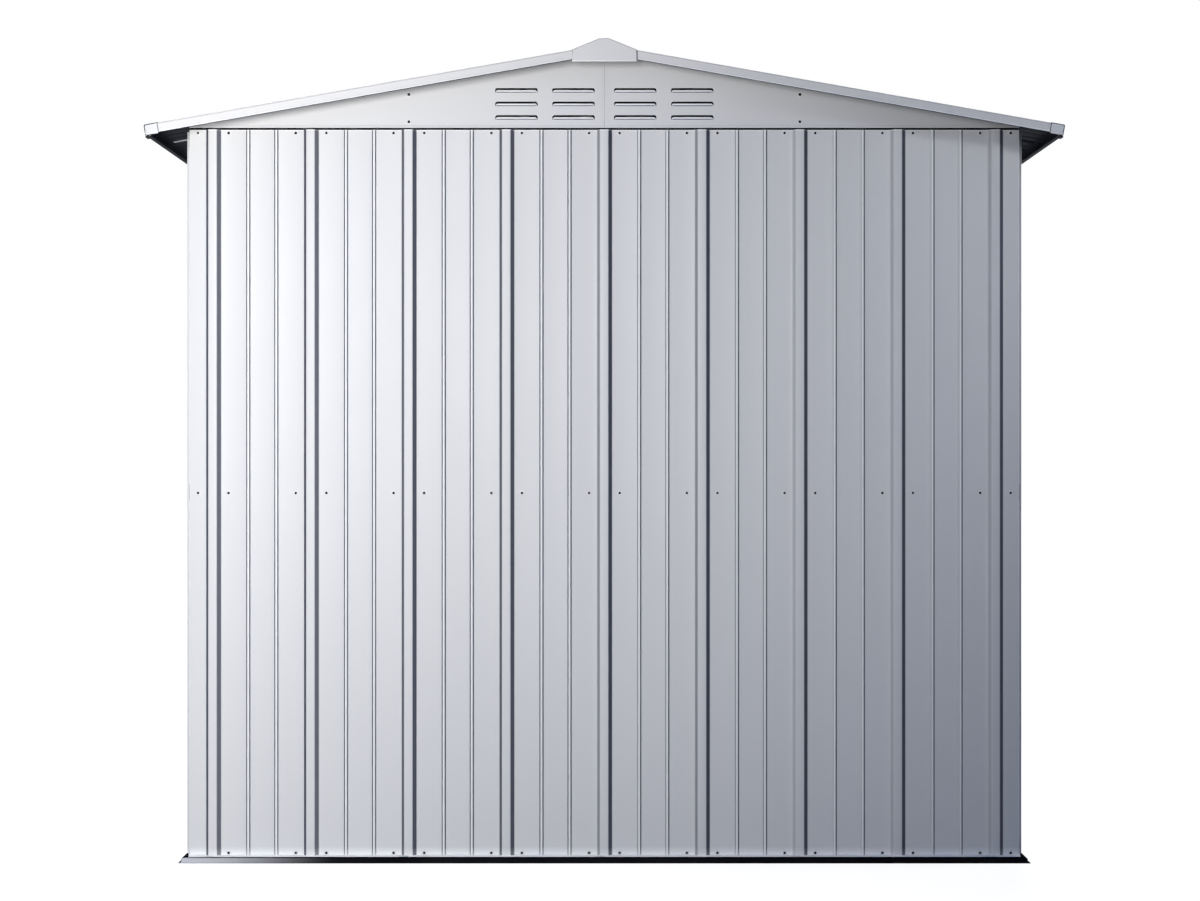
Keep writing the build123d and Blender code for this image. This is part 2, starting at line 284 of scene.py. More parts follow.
satinPaint = {
    "wall": (0.765, 0.772, 0.784),
    "trim": (0.805, 0.80, 0.795),
    "roof": (0.76, 0.767, 0.777),
    # the louvre blade is painted whiter as painted highlight, its foot (the downward faces) dark blue-grey as
    # painted shade
    "blade": (0.96, 0.965, 0.975),
    "bladeFoot": (0.15, 0.17, 0.23),
    "roughness": (0.38, 0.46),
    "toneSpread": 0.03,
    "gloss": 0.25,
    "dustAndShade": (0.05, 0.057, 0.092),                    # painted shade in the folds
    "crest": (0.97, 0.975, 0.98),                    # painted highlight on lips and crests
    "driftScale": 2.2, "sheenScale": 14,             # changes of tone and of shine along a sheet
    "buckleScale": 5, "buckleStrength": 0.25, "buckleDepth": 0.0012,
    "peelScale": 700, "peelStrength": 0.08, "peelDepth": 0.0001,
}


def blendBy(tree, name, tone, colour):
    # blends towards a colour by a mark on the mesh
    share = tree.nodes.new("ShaderNodeAttribute")
    share.attribute_name = name
    mix = tree.nodes.new("ShaderNodeMix")
    mix.data_type = "RGBA"
    tree.links.new(share.outputs["Fac"], mix.inputs["Factor"])
    tree.links.new(tone, mix.inputs["A"])
    mix.inputs["B"].default_value = (*colour, 1)
    return mix.outputs["Result"]


def satinMaterial(name, colour):
    material, tree, shader, coords = newMaterial(name)
    shader.inputs["Specular IOR Level"].default_value = satinPaint["gloss"]
    tone = satinPaint["toneSpread"]
    darker = tuple(channel * (1 - tone) for channel in colour)
    drift = noise(tree, coords, satinPaint["driftScale"], detail=2, stretch=(1, 1, 0.35))
    plainTone = ramp(tree, drift, [(0.3, darker), (0.7, colour)])
    # the crest mark blends in painted highlight, the fold mark painted shade
    bright = blendBy(tree, "crest", plainTone, satinPaint["crest"])
    tree.links.new(blendBy(tree, "fold", bright, satinPaint["dustAndShade"]), shader.inputs["Base Color"])
    sheen = noise(tree, coords, satinPaint["sheenScale"], detail=4, stretch=(1, 1, 0.5))
    tree.links.new(spread(tree, sheen, *satinPaint["roughness"]), shader.inputs["Roughness"])
    buckle = noise(tree, coords, satinPaint["buckleScale"], detail=1, stretch=(1, 1, 0.3))
    peel = noise(tree, coords, satinPaint["peelScale"], detail=1)
    bump(tree, shader, [
        (buckle, satinPaint["buckleStrength"], satinPaint["buckleDepth"]),
        (peel, satinPaint["peelStrength"], satinPaint["peelDepth"]),
    ])
    return material


darkPaint = {
    "base": (0.006, 0.006, 0.009),
    # back: dark paint on undersides and backs, used as painted shade
    "back": (0.022, 0.025, 0.034),
    "hardware": (0.02, 0.02, 0.022),
    # rails are near-black, partly as painted shade in the seam gap above the walls
    "rail": (0.01, 0.01, 0.013),
    "screw": (0.006, 0.006, 0.008),
    "dustScale": 6, "dustLift": 0.012, "roughSpread": 0.15,
    "grainScale": 500, "grainStrength": 0.1, "grainDepth": 0.0001,
    "railReflection": {"end": -0.99, "clear": -0.62, "colour": (0.62, 0.63, 0.66)},      # painted reflection that fades along X, on the rear rail
}


def paintedReflectionFrom(tree, coords, tone, end, clear, colour):
    # a pale painted reflection that thins out along X
    split = tree.nodes.new("ShaderNodeSeparateXYZ")
    tree.links.new(coords, split.inputs["Vector"])
    span = tree.nodes.new("ShaderNodeMapRange")
    span.interpolation_type = "SMOOTHSTEP"
    span.inputs["From Min"].default_value = clear
    span.inputs["From Max"].default_value = end
    tree.links.new(split.outputs["X"], span.inputs["Value"])
    mix = tree.nodes.new("ShaderNodeMix")
    mix.data_type = "RGBA"
    tree.links.new(span.outputs["Result"], mix.inputs["Factor"])
    tree.links.new(tone, mix.inputs["A"])
    mix.inputs["B"].default_value = (*colour, 1)
    return mix.outputs["Result"]


def blackMaterial(name, colour, roughness, gloss=0.5, paintedReflection=None):
    material, tree, shader, coords = newMaterial(name)
    shader.inputs["Specular IOR Level"].default_value = gloss
    dustAndShade = noise(tree, coords, darkPaint["dustScale"], detail=5, stretch=(1, 1, 3))
    lighter = tuple(channel + darkPaint["dustLift"] for channel in colour)
    tone = ramp(tree, dustAndShade, [(0.35, colour), (0.8, lighter)])
    if paintedReflection:
        tone = paintedReflectionFrom(tree, coords, tone, **paintedReflection)
    tree.links.new(tone, shader.inputs["Base Color"])
    dull = spread(tree, dustAndShade, roughness, roughness + darkPaint["roughSpread"])
    tree.links.new(dull, shader.inputs["Roughness"])
    grain = noise(tree, coords, darkPaint["grainScale"], detail=1)
    bump(tree, shader, [(grain, darkPaint["grainStrength"], darkPaint["grainDepth"])])
    return material


plastic = {
    "cap": (0.78, 0.79, 0.81),
    # dark plastic of the drip lips; on the caps' rounded edges and inner rims it is painted shade
    "edge": (0.02, 0.02, 0.025),
    "washer": (0.80, 0.80, 0.81),
    "driftScale": 25, "toneSpread": 0.04, "roughness": (0.42, 0.52),
    "grainScale": 1400, "grainStrength": 0.15, "grainDepth": 0.0001,
}


def plasticMaterial(name, colour, gloss=0.5):
    material, tree, shader, coords = newMaterial(name)
    shader.inputs["Specular IOR Level"].default_value = gloss
    drift = noise(tree, coords, plastic["driftScale"], detail=2)
    darker = tuple(channel * (1 - plastic["toneSpread"]) for channel in colour)
    tree.links.new(ramp(tree, drift, [(0.35, darker), (0.7, colour)]), shader.inputs["Base Color"])
    tree.links.new(spread(tree, drift, *plastic["roughness"]), shader.inputs["Roughness"])
    grain = noise(tree, coords, plastic["grainScale"], detail=1)
    bump(tree, shader, [(grain, plastic["grainStrength"], plastic["grainDepth"])])
    return material


wallPaint = satinMaterial("wallPaint", satinPaint["wall"])
trimPaint = satinMaterial("trimPaint", satinPaint["trim"])
roofPaint = satinMaterial("roofPaint", satinPaint["roof"])
bladePaint = satinMaterial("bladePaint", satinPaint["blade"])
bladeFootPaint = satinMaterial("bladeFootPaint", satinPaint["bladeFoot"])
basePaint = blackMaterial("basePaint", darkPaint["base"], roughness=0.6, gloss=0.0)
paintedReflectionBasePaint = blackMaterial("paintedReflectionBasePaint", darkPaint["base"], roughness=0.6, gloss=0.0,
                               paintedReflection=darkPaint["railReflection"])
backShadePaint = blackMaterial("backShadePaint", darkPaint["back"], roughness=0.7, gloss=0.08)
hardwarePaint = blackMaterial("hardwarePaint", darkPaint["hardware"], roughness=0.4)
railPaint = blackMaterial("railPaint", darkPaint["rail"], roughness=0.6, gloss=0.05)
screwBlack = blackMaterial("screwBlack", darkPaint["screw"], roughness=0.5, gloss=0.1)
capPlastic = plasticMaterial("capPlastic", plastic["cap"])
edgeShadeAndDripPlastic = plasticMaterial("edgeShadeAndDripPlastic", plastic["edge"], gloss=0.05)
washerPlastic = plasticMaterial("washerPlastic", plastic["washer"])
print("materials ready")


# ribbed sheets

ribbed = {
    "sheet": 0.0005,
    "spacing": 0.230,
    "ribFoot": 0.035, "ribTop": 0.019, "ribHeight": 0.012, "ribBend": 0.002,
    "beadOffset": 0.082, "beadFoot": 0.0098, "beadTop": 0.004, "beadHeight": 0.003, "beadBend": 0.0008,
    "lip": 0.006,
    "cornerLeg": 0.0565, "cornerBend": 0.0018,
    "bays": 2, "rearPanels": 4, "sidePanels": 3,
    "footReach": 0.0160, "footHeight": 0.0027, "footLip": 0.0025, "footLean": 0.0025,
    # glow and topLip: how far the painted highlight reaches up from the foot and down from the top
    "glow": 0.022, "topLip": 0.004, "footGap": 0.0032, "seamGap": 0.0032,
    "dustAndShade": (0.55, 0.6),                             # painted shade on the left and right sides of the folds
    "roofFoldShade": (0.25, 0.25),
    "rearFoldShade": ((1.0, 0.85), (0.9, 0.95), (0.55, 1.0), (0.2, 1.0)),       # painted shade on each panel from the left
    "cornerFoldShade": (0.55, 0.0),                       # painted shade beside the rear left corner
    "foldShadeReach": 0.021, "foldShadeLean": (0.2, 0.45),     # how near a fold, and how steep a side, the painted shade starts
    "strip": (0.0110, 0.0158), "stripFade": 0.0006,  # part of a rib's left side that gets painted shade, from its middle
}


def bayBeads(first, count):
    offsets = (ribbed["beadOffset"], ribbed["spacing"] - ribbed["beadOffset"])
    return [first + bay * ribbed["spacing"] + offset for bay in range(count) for offset in offsets]


def markFolds(piece, centres, dustAndShade):
    # painted shade on the sides of the ribs and beads, and on a rib's left side only halfway up
    layer = piece.data.attributes.get("fold") or piece.data.attributes.new("fold", "FLOAT", "POINT")
    stripLow, stripHigh = ribbed["strip"]
    leanFrom, leanSpan = ribbed["foldShadeLean"]
    shares = []
    for vert in piece.data.vertices:
        lean = vert.normal.x
        offsets = [centre - vert.co.x for centre in centres]
        offsets = [offset for offset in offsets if abs(offset) < ribbed["foldShadeReach"]]
        onRibLeft = any(offset > ribbed["beadFoot"] / 2 for offset in offsets)
        onStrip = any(stripLow - tiny < offset < stripHigh + ribbed["sheet"] for offset in offsets)
        share = dustAndShade[0] if lean < 0 else dustAndShade[1]
        if not offsets or (onRibLeft and not onStrip):
            share = 0
        shares.append(share * min(1, max(0, (abs(lean) - leanFrom) / leanSpan)))
    layer.data.foreach_set("value", shares)


def turnOutFoot(piece, bottom, legAt, mainReach, legReach):
    # the sheet's foot turns out over the base rail, in front of the ribs, and ends in a sloping lip
    bendStart = legAt - ribbed["cornerBend"] - tiny if legAt else math.inf
    bendEnd = ribbed["cornerBend"] + tiny
    for height in (ribbed["footHeight"], ribbed["footLip"]):
        cut((0, 0, bottom + height), (0, 0, 1))
    for level, less in ((bottom, 0), (bottom + ribbed["footLip"], ribbed["footLean"])):
        main = mainReach - less if mainReach else 0
        leg = legReach - less if legReach else 0
        if main:
            pick(piece, "VERT", lambda vert: abs(vert.co.z - level) < tiny and vert.co.x < bendStart)
            bpy.ops.transform.resize(value=(1, 0, 1), center_override=(0, 0, 0))
            bpy.ops.transform.translate(value=(0, -main, 0))
        if legAt:
            push(piece, lambda co: abs(co.z - level) < tiny and co.x > bendStart and co.y < bendEnd,
                 (leg, -main, 0))
            push(piece, lambda co: abs(co.z - level) < tiny and co.x > bendStart and co.y > bendEnd,
                 (leg, 0, 0))


def ribbedSheet(name, left, right, bottom, top, ribs, beads,
                lapped=True, flanges=(), legAt=None, feet=(0, 0), dustAndShade=ribbed["dustAndShade"]):
    # ribs and beads are pressed outwards from a flat sheet, and the folds are rounded
    piece = flatSheet(name, left, right, bottom, top)
    edit(piece)
    for centres, foot, crest in ((ribs, "ribFoot", "ribTop"), (beads, "beadFoot", "beadTop")):
        for centre in centres:
            for offset in (-ribbed[foot] / 2, -ribbed[crest] / 2, ribbed[crest] / 2, ribbed[foot] / 2):
                cut((centre + offset, 0, 0), (1, 0, 0))
    for centres, crest, height in ((ribs, "ribTop", "ribHeight"), (beads, "beadTop", "beadHeight")):
        for centre in centres:
            push(piece, lambda co: abs(co.x - centre) < ribbed[crest] / 2 + tiny, (0, -ribbed[height], 0))
    if lapped:
        push(piece, lambda co: co.x < ribs[0] - ribbed["ribFoot"] / 2 + tiny, (0, -ribbed["sheet"], 0))
    for end, depth in flanges:
        pullEdge(piece, lambda co: abs(co.x - end) < tiny, (0, depth, 0))

    def beside(edge, centres, reach):
        return any(abs(edge.verts[0].co.x - centre) < reach for centre in centres)

    roundFolds(piece, ribbed["ribBend"], 4, lambda edge: beside(edge, ribs, ribbed["ribFoot"]))
    roundFolds(piece, ribbed["beadBend"], 3, lambda edge: beside(edge, beads, ribbed["beadFoot"]))
    stripLow, stripHigh = ribbed["strip"]
    fade = ribbed["stripFade"]
    for centre in ribs:
        for offset in (stripLow - fade, stripLow, stripHigh, stripHigh + fade):
            cut((centre - offset, 0, 0), (1, 0, 0))
    if legAt:
        pullEdge(piece, lambda co: abs(co.x - legAt) < tiny, (0, ribbed["cornerLeg"], 0))
        roundFolds(piece, ribbed["cornerBend"], 5,
                   lambda edge: all(abs(vert.co.x - legAt) < tiny for vert in edge.verts))
    for level in (bottom + ribbed["glow"], top - ribbed["topLip"]):
        cut((0, 0, level), (0, 0, 1))
    if any(feet):
        turnOutFoot(piece, bottom, legAt, *feet)
    done()
    # painted shade on the folds, painted highlight on the foot, the top edge, the bead crests and the corner
    # bend
    markFolds(piece, ribs + beads, dustAndShade)
    mark(piece, "crest", lambda co: co.z < bottom + ribbed["footHeight"] + tiny or co.z > top - tiny)
    for centre in beads:
        mark(piece, "crest", lambda co: abs(co.x - centre) < ribbed["beadTop"] / 2 + tiny)
    if legAt:
        bend = ribbed["cornerBend"]
        mark(piece, "crest", lambda co: legAt - bend + tiny < co.x < legAt + bend and co.y < bend - tiny)
    return piece


ribStart = -halfWidth + ribbed["cornerLeg"]
sideRibStart = -halfDepth + ribbed["cornerLeg"]
panelWidth = ribbed["bays"] * ribbed["spacing"]
ribReach = ribbed["ribFoot"] / 2 + ribbed["lip"]
sheetFoot = baseTop + ribbed["footGap"]
sheetTop = wallTop - ribbed["seamGap"]

gableFeet = (ribbed["footReach"], 0)                 # how far the foot turns out, on the sheet and its leg
legFeet = (0, ribbed["footReach"])

# one wall panel with its lapping rib at zero, copied round the walls
panelRibs = [0, ribbed["spacing"]]
panelBeads = bayBeads(0, ribbed["bays"])
for walls, start, count, feet in ((("rear",), ribStart, ribbed["rearPanels"], gableFeet),
                                  (("right", "left"), sideRibStart, ribbed["sidePanels"], (0, 0))):
    panelMaster = ribbedSheet(
        "panelMaster", -ribReach, panelWidth, sheetFoot, sheetTop, panelRibs, panelBeads, feet=feet)
    thicken(panelMaster, ribbed["sheet"], True)
    for wall in walls:
        for index in range(count):
            shift = Matrix.Translation((start + index * panelWidth, 0, 0))
            # each rear panel gets its own amount of painted shade on its folds
            if wall == "rear":
                markFolds(panelMaster, panelRibs + panelBeads, ribbed["rearFoldShade"][index])
            panel = copyOf(panelMaster, f"{wall}WallPanel{index + 1}", wallMatrix(wall) @ shift)
            finishPiece(panel, wallPaint, [f"{wall}_wall_panel_{index + 1}"])
    bpy.data.objects.remove(panelMaster)
print("wall panels ready")

# corner panels, whose feet turn out on the gable walls
# painted shade on the corner ribs
cornerFoldShade = {"rear": ribbed["rearFoldShade"][-1], "left": ribbed["cornerFoldShade"]}
for corners, feet in (((("rear", "rear_right"), ("front", "front_left")), gableFeet),
                      ((("right", "front_right"), ("left", "rear_left")), legFeet)):
    cornerMaster = ribbedSheet(
        "cornerMaster", -ribReach, ribbed["cornerLeg"], sheetFoot, sheetTop, [0], [],
        legAt=ribbed["cornerLeg"], feet=feet)
    thicken(cornerMaster, ribbed["sheet"], True)
    for wall, corner in corners:
        shift = Matrix.Translation((wallHalves[wall] - ribbed["cornerLeg"], 0, 0))
        markFolds(cornerMaster, [0], cornerFoldShade.get(wall, ribbed["dustAndShade"]))
        panel = copyOf(cornerMaster, f"cornerPanel_{corner}", wallMatrix(wall) @ shift)
        finishPiece(panel, wallPaint, [f"corner_panel_{corner}"])
    bpy.data.objects.remove(cornerMaster)
print("corner panels ready")

# doorway
doorway = {"half": 0.460, "jamb": 0.025, "leafFlange": 0.020}
frontRight = ribbedSheet(
    "frontWallPanelRight", ribStart - ribReach, -doorway["half"], sheetFoot, sheetTop,
    [ribStart, ribStart + ribbed["spacing"]], bayBeads(ribStart, ribbed["bays"]),
    flanges=[(-doorway["half"], doorway["jamb"])], feet=gableFeet)
frontLeft = ribbedSheet(
    "frontWallPanelLeft", doorway["half"], -ribStart, sheetFoot, sheetTop,
    [doorway["half"] + ribbed["spacing"]], bayBeads(doorway["half"], ribbed["bays"]), lapped=False,
    flanges=[(doorway["half"], doorway["jamb"])], feet=gableFeet)
for panel, node in ((frontRight, "front_wall_panel_right"), (frontLeft, "front_wall_panel_left")):
    thicken(panel, ribbed["sheet"], True)
    place(panel, wallMatrix("front"))
    finishPiece(panel, wallPaint, [node])

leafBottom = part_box("door_leaf_left")[0].z
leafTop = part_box("door_leaf_left")[1].z
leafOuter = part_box("door_leaf_right")[1].x - ribbed["sheet"]
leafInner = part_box("door_leaf_right")[0].x + ribbed["sheet"]
for side, left, right, first in (("right", -leafOuter, -leafInner, -doorway["half"]),
                                 ("left", leafInner, leafOuter, 0)):
    leaf = ribbedSheet(
        f"doorLeaf_{side}", left, right, leafBottom, leafTop,
        [first + ribbed["spacing"]], bayBeads(first, ribbed["bays"]), lapped=False,
        flanges=[(left, doorway["leafFlange"]), (right, doorway["leafFlange"])])
    thicken(leaf, ribbed["sheet"], True)
    place(leaf, wallMatrix("front"))
    finishPiece(leaf, wallPaint, [f"door_leaf_{side}"])
print("doorway ready")

# roof panels: each of the three sheets is modelled once and copied to both slopes
roofSheet = {
    "ridgeGap": 0.006, "endGap": 0.0009, "backLean": 0.05,
    "paleLean": {"left": 0.78, "right": 2},          # rib sides that lean further stay pale below as if lit, 2 for none; the rest of the underside is painted shade
}
for index in range(ribbed["sidePanels"]):
    first = sideRibStart + index * panelWidth
    last = first + panelWidth
    ribs = [first, first + ribbed["spacing"]]
    beads = bayBeads(first, ribbed["bays"])
    left = first - ribReach
    right = last
    if index == 0:
        left = -roofEnd + roofSheet["endGap"]
        beads = [first - ribbed["beadOffset"]] + beads
    if index == ribbed["sidePanels"] - 1:
        right = roofEnd - roofSheet["endGap"]
        ribs = ribs + [last]
        beads = beads + [last + ribbed["beadOffset"]]
    roofMaster = ribbedSheet(
        "roofMaster", left, right, -roofRun, -roofSheet["ridgeGap"], ribs, beads, lapped=index > 0,
        dustAndShade=ribbed["roofFoldShade"])
    thicken(roofMaster, ribbed["sheet"], True)
    for side in ("right", "left"):
        panel = copyOf(roofMaster, f"{side}RoofPanel{index + 1}", Matrix.Identity(4))
        pale = roofSheet["paleLean"][side]
        # the underside gets painted shade, except rib sides that stay pale as if lit
        coat(panel, roofPaint, backShadePaint,
             lambda face: face.normal.y > roofSheet["backLean"] and abs(face.normal.x) < pale)
        place(panel, roofMatrix(side))
        finishPiece(panel, roofPaint, [f"{side}_roof_panel_{index + 1}"])
    bpy.data.objects.remove(roofMaster)
print("roof panels ready")


# gables

gable = {
    "sheet": 0.0005, "flange": 0.020, "bend": 0.0012,
    "lip": 0.0022, "lipHeight": 0.006, "lipPale": 0.0042, "hemDrop": 0.0017,
    "louvreWidth": 0.100, "louvreHeight": 0.0104, "louvreCorner": 0.005, "endLength": 0.006,
    "cutDepth": 0.02, "bladeBend": 0.0006, "bladeUnder": 0.35,
    "bladeSteps": ((0.0, 0.0, 0.0), (-0.0024, 0.0017, 0.001), (-0.0019, 0.0054, 0.0048)), "seam": 0.0002,
    "columns": (0.0725, 0.207), "firstRow": 0.018, "rowPitch": 0.0318, "rows": 3,
}


def louvreCutter():
    # the outline of one slit, with its lower edge at zero
    deselect()
    bpy.ops.mesh.primitive_cube_add(size=1)
    cutter = bpy.context.object
    cutter.scale = (gable["louvreWidth"], gable["cutDepth"], gable["louvreHeight"])
    cutter.location = (0, 0, gable["louvreHeight"] / 2)
    bpy.ops.object.transform_apply(location=True, rotation=True, scale=True)
    edit(cutter)
    pick(cutter, "EDGE", lambda edge: all(vert.co.z > gable["louvreHeight"] - tiny for vert in edge.verts)
         and abs(edge.verts[0].co.x - edge.verts[1].co.x) < tiny)
    bpy.ops.mesh.bevel(offset=gable["louvreCorner"], segments=5, affect="EDGES")
    done()
    return cutter


def louvreBlade():
    # pressed out above its foot, with drawn-in ends
    half = gable["louvreWidth"] / 2
    blade = flatSheet("blade", -half, half, 0, gable["bladeSteps"][-1][1])
    edit(blade)
    for offset in (gable["endLength"] - half, half - gable["endLength"]):
        cut((offset, 0, 0), (1, 0, 0))
    for move, height, draw in gable["bladeSteps"][1:-1]:
        cut((0, 0, height), (0, 0, 1))
    for move, height, draw in gable["bladeSteps"]:
        push(blade, lambda co: abs(co.z - height) < tiny and abs(co.x) < half - tiny, (0, move, 0))
        for hand in (-1, 1):
            push(blade, lambda co: abs(co.z - height) < tiny and co.x * hand > half - tiny,
                 (-hand * draw, max(move, 0), 0))
    roundFolds(blade, gable["bladeBend"], 2)
    done()
    thicken(blade, gable["sheet"], True)
    # the blade's downward faces get painted shade
    coat(blade, bladePaint, bladeFootPaint, lambda face: face.normal.z < -gable["bladeUnder"])
    return blade


cutterMaster = louvreCutter()
bladeMaster = louvreBlade()


def gablePlate(name, hand):
    left, right = (gable["seam"], halfWidth) if hand > 0 else (-halfWidth, -gable["seam"])
    hem = gableBottom - gable["hemDrop"]
    plate = flatSheet(name, left, right, hem, ridgeHeight)
    edit(plate)
    cut((0, 0, ridgeHeight), (hand * math.sin(pitch), 0, math.cos(pitch)), clearOuter=True)
    cut((0, 0, hem + gable["lipHeight"]), (0, 0, 1))
    push(plate, lambda co: co.z < hem + tiny, (0, -gable["lip"], 0))
    cut((0, 0, hem + gable["lipPale"]), (0, 0, 1))
    pullEdge(plate, lambda co: abs(co.z - ridgeHeight + abs(co.x) * math.tan(pitch)) < tiny,
             (0, gable["flange"], 0))
    roundFolds(plate, gable["bend"], 3)
    done()
    thicken(plate, gable["sheet"], True)
    rows = [gableBottom + gable["firstRow"] + row * gable["rowPitch"] for row in range(gable["rows"])]
    spots = [Matrix.Translation((hand * column, 0, row)) for column in gable["columns"] for row in rows]
    cutters = join("cutters", [copyOf(cutterMaster, "cutter", spot) for spot in spots])
    applyModifier(plate, "BOOLEAN", {"operation": "DIFFERENCE", "object": cutters, "solver": "EXACT"})
    bpy.data.objects.remove(cutters)
    plate.data.materials.append(wallPaint)
    # painted highlight on the hem lip
    mark(plate, "crest", lambda co: co.z < hem + gable["lipPale"] + tiny)
    return join(name, [plate] + [copyOf(bladeMaster, "blade", spot) for spot in spots])


for hand, side, other in ((1, "right", "left"), (-1, "left", "right")):
    plate = gablePlate(f"rearGable_{side}", hand)
    twin = copyOf(plate, f"frontGable_{other}", wallMatrix("front"))
    place(plate, wallMatrix("rear"))
    finishPiece(plate, wallPaint, [f"rear_gable_{side}"])
    finishPiece(twin, wallPaint, [f"front_gable_{other}"])
bpy.data.objects.remove(cutterMaster)
bpy.data.objects.remove(bladeMaster)
print("gables ready")


# base rails

base = {"ledge": 0.0175, "toe": 0.006, "upstand": 0.025, "sheet": 0.001, "bend": 0.0018}


def baseRail(wall):
    half = wallHalves[wall]
    reach = half + base["ledge"] + base["toe"]
    rail = flatSheet(f"baseRail_{wall}", -reach, reach, baseTop, baseTop + base["upstand"])
    edit(rail)
    pullEdge(rail, lambda co: co.z < baseTop + tiny, (0, -base["ledge"], 0))
    pullEdge(rail, lambda co: co.y < -base["ledge"] + tiny, (0, 0, base["sheet"] - baseTop))
    pullEdge(rail, lambda co: co.z < base["sheet"] + tiny, (0, -base["toe"], 0))
    roundFolds(rail, base["bend"], 3)
    cut((half, 0, 0), (1, 1, 0), clearOuter=True)
    cut((-half, 0, 0), (-1, 1, 0), clearOuter=True)
    done()
    thicken(rail, base["sheet"], False)
    place(rail, wallMatrix(wall))
    # the rear rail gets a painted reflection at its left end
    paint = paintedReflectionBasePaint if wall == "rear" else basePaint
    finishPiece(rail, paint, [f"base_rail_{wall}"])


for wall in wallTurns:
    baseRail(wall)
print("base rails ready")


# bargeboards, eave trims and caps

trim = {
    "sheet": 0.0006, "bend": 0.0015,
    "bargeFace": 0.0216, "bargeFlange": 0.026, "bargeReturn": 0.008, "bargeTop": 0.0011,
    "bargeLap": 0.02, "bargeUnder": 0.75,
    "lip": 0.0016, "lipHeight": 0.004, "lipPale": 0.003,
    "edge": 0.0016, "edgeFade": 0.00048, "edgeShade": 0.22,
    "eaveFace": 0.025, "eaveFlange": 0.012, "eaveReturn": 0.010, "eaveUnder": 0.5, "backLean": 0.3,
    "capLength": 0.033, "capFace": 0.0255, "capWall": 0.0013, "capBend": 0.004, "capRim": 0.0015,
    "capEdgeLean": (0.1, 0.97),                      # the rounded edges are painted dark as painted shade
    "dripDepth": 0.008, "dripHeight": 0.004, "dripBend": 0.0012,
    # where the painted shadow line beside the ridge cap falls, and how dark it is
    "shadeSteps": (0.0002, 0.0022, 0.0030), "dustAndShade": 0.85,
}

ridgeEnd = {
    "half": 0.075, "flat": 0.011, "rise": 0.0148, "drop": 0.0392, "wall": 0.0025, "bend": 0.0009,
    "lip": 0.0012, "rim": 0.0024, "rimFade": 0.00048, "dustAndShade": 0.6,
}


def slopeMatrix(hand):
    # X down the slope on that side, Z out of the roof, at the rear end
    return Matrix.Translation((0, -roofEnd, ridgeHeight)) @ Matrix.Rotation(hand * pitch, 4, "Y")


def bargeboard(name, hand):
    left, right = (-trim["bargeLap"], roofRun) if hand > 0 else (-roofRun, trim["bargeLap"])
    foot = trim["bargeTop"] - trim["bargeFace"]
    board = flatSheet(name, left, right, foot, trim["bargeTop"])
    edit(board)
    pullEdge(board, lambda co: co.z > trim["bargeTop"] - tiny, (0, trim["bargeFlange"], 0))
    pullEdge(board, lambda co: co.z < foot + tiny, (0, trim["bargeReturn"], 0))
    cut((0, 0, foot + trim["lipHeight"]), (0, 0, 1))
    edge = trim["bargeTop"] - trim["bend"] - trim["edge"]
    for level in (edge, edge - trim["edgeFade"]):
        cut((0, 0, level), (0, 0, 1))
    push(board, lambda co: co.z < foot + tiny and co.y < tiny, (0, -trim["lip"], 0))
    roundFolds(board, trim["bend"], 3)
    done()
    # painted highlight on the lip, painted shade along the top edge
    mark(board, "crest", lambda co: co.z < foot + trim["lipPale"] and co.y < tiny)
    mark(board, "fold", lambda co: co.z > edge - tiny, trim["edgeShade"])
    place(board, slopeMatrix(hand))
    edit(board)
    cut((0, 0, 0), (hand, 0, 0), clearInner=True)
    for step in trim["shadeSteps"]:
        cut((ridgeEnd["half"] + step, 0, 0), (1, 0, 0))
    done()
    # a line of painted shadow beside the ridge cap
    shadeEnd = ridgeEnd["half"] + trim["shadeSteps"][1] + tiny
    mark(board, "fold", lambda co: ridgeEnd["half"] < co.x < shadeEnd, trim["dustAndShade"])
    thicken(board, trim["sheet"], False)
    # the back and the underside get painted shade
    coat(board, trimPaint, backShadePaint,
         lambda face: face.normal.y > trim["backLean"] or face.normal.z < -trim["bargeUnder"])
    return board


halfTurn = Matrix.Rotation(math.pi, 4, "Z")
for hand, side, other in ((1, "right", "left"), (-1, "left", "right")):
    board = bargeboard(f"bargeboardRear_{side}", hand)
    twin = copyOf(board, f"bargeboardFront_{other}", halfTurn)
    finishPiece(board, trimPaint, [f"bargeboard_rear_{side}"])
    finishPiece(twin, trimPaint, [f"bargeboard_front_{other}"])


def eaveMatrix():
    # X along the right eave, -Y down the slope, Z out of the roof, at the lower edge
    tilt = Matrix.Rotation(pitch, 4, "Y") @ Matrix.Rotation(math.pi / 2, 4, "Z")
    return Matrix.Translation((eaveReach, 0, ridgeHeight - eaveReach * math.tan(pitch))) @ tilt


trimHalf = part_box("eave_trim_right")[1].y
eave = flatSheet("eaveTrim_right", -trimHalf, trimHalf, -trim["eaveFace"], 0)
edit(eave)
pullEdge(eave, lambda co: co.z > -tiny, (0, trim["eaveFlange"], 0))
pullEdge(eave, lambda co: co.z < tiny - trim["eaveFace"], (0, trim["eaveReturn"], 0))
roundFolds(eave, trim["bend"], 3)
done()
thicken(eave, trim["sheet"], False)
# the back and the underside get painted shade
coat(eave, trimPaint, backShadePaint,
     lambda face: face.normal.y > trim["backLean"] or face.normal.z < -trim["eaveUnder"])
place(eave, eaveMatrix())
eaveTwin = copyOf(eave, "eaveTrim_left", halfTurn)
finishPiece(eave, trimPaint, ["eave_trim_right"])
finishPiece(eaveTwin, trimPaint, ["eave_trim_left"])


